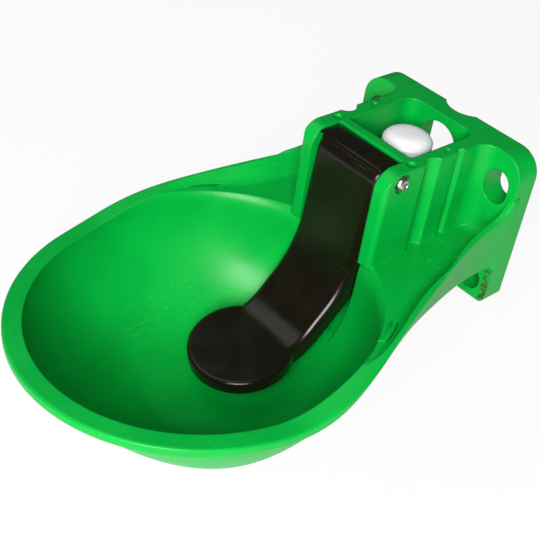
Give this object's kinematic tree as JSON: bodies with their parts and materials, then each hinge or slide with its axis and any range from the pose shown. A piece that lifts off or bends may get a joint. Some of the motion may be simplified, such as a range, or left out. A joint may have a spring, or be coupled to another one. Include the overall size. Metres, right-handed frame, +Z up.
{
  "type": "livestock drinking bowl",
  "caption": "Wall-mounted livestock drinking bowl: a deep oval basin with rolled rim, wall plate and valve chamber, and a hinged nose paddle that pushes a sprung water valve.",
  "frame": {"origin": "midway between the two lower bolt holes, on the face that meets the wall", "axes": "+X to the right of someone facing the wall, +Y into the wall, +Z up"},
  "size_m": [0.227, 0.332, 0.1615],
  "materials": {
    "bowl_green": "glossy moulded polymer",
    "tongue_black": "glossy moulded polymer",
    "cap_white": "satin moulded polymer",
    "nylon": "natural nylon",
    "steel": "stainless",
    "brass": "machined",
    "rubber": "matt"
  },
  "bodies": {
    "base": {"bowl_body": "bowl_green", "pivot_bolt": "steel", "pivot_nut": "steel", "pivot_washers": "steel", "pivot_sleeve": "nylon", "valve_body": "brass", "spigot_gasket": "rubber", "cap_gasket": "rubber", "plug_gasket": "rubber", "valve_locknut": "brass", "valve_cap": "cap_white", "rear_plug": "brass", "valve_seat": "nylon", "seat_seal": "rubber", "stem_guide": "nylon", "valve_spring": "steel", "inlet_strainer": "steel", "regulating_screw": "brass", "screw_seal": "rubber"},
    "tongue_body": {"tongue": "tongue_black"},
    "stem": {"valve_stem": "steel", "stem_button": "nylon", "seal_disc": "rubber", "seal_retainer": "steel", "stem_clip": "steel"}
  },
  "joints": [
    {"name": "tongue_hinge", "type": "hinge", "parent": "base", "child": "tongue_body", "pos_m": [0, -0.095, 0.092], "axis": [1, 0, 0], "range_deg": [0, 5], "stiffness_Nm_per_rad": 1.67, "springref_deg": -9.45},
    {"name": "stem_slide", "type": "slide", "parent": "base", "child": "stem", "axis": [0, 1, 0], "range_m": [0, 0.0032], "deforming": ["valve_spring"]}
  ],
  "couplings": [
    {"joint": "stem_slide", "follows": "tongue_hinge", "m_per_rad": 0.036}
  ]
}
